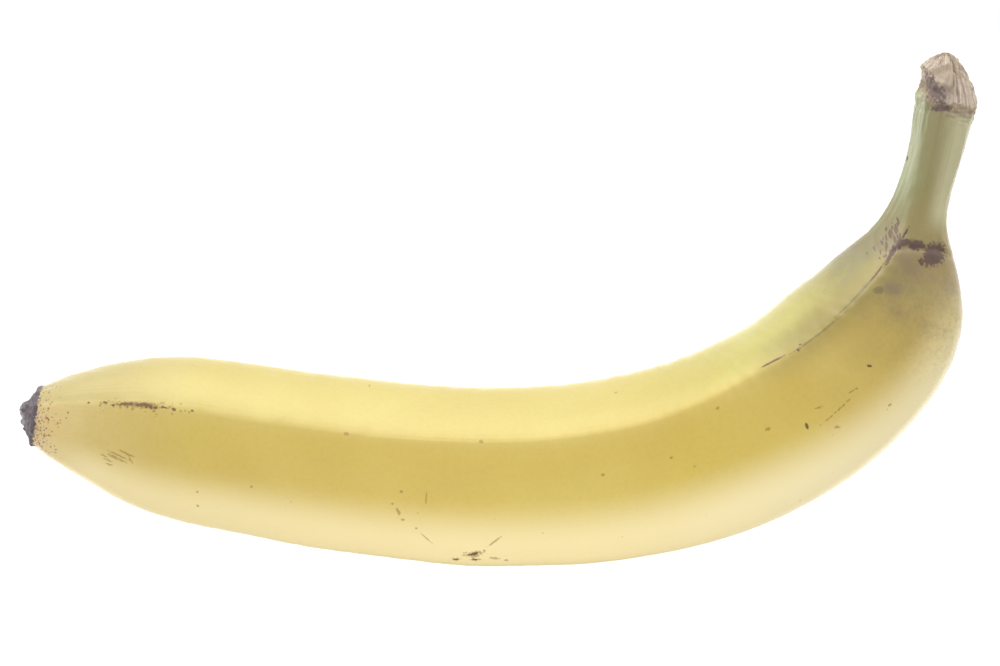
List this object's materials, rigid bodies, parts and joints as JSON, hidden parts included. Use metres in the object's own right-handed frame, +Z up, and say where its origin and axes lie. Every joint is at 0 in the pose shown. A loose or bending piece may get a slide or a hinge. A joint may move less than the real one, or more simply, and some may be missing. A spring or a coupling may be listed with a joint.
{
  "type": "banana",
  "caption": "Ripe banana lying on the back of its curve, softly ridged, with a dark blossom scar at one end and a rising stem, torn off short, at the other.",
  "frame": {"origin": "on the surface that the banana rests on, below the middle of its overall box", "axes": "+X from the blossom end towards the stem end, +Y to the far side of the curve's plane, +Z up, out of the flat that it rests on and in the direction that both ends curve"},
  "size_m": [0.1863, 0.0357, 0.1006],
  "materials": {
    "banana_skin": "waxy satin peel, yellow, greener at the neck, with brown marks"
  },
  "bodies": {
    "root": {"banana": "banana_skin"}
  },
  "joints": []
}
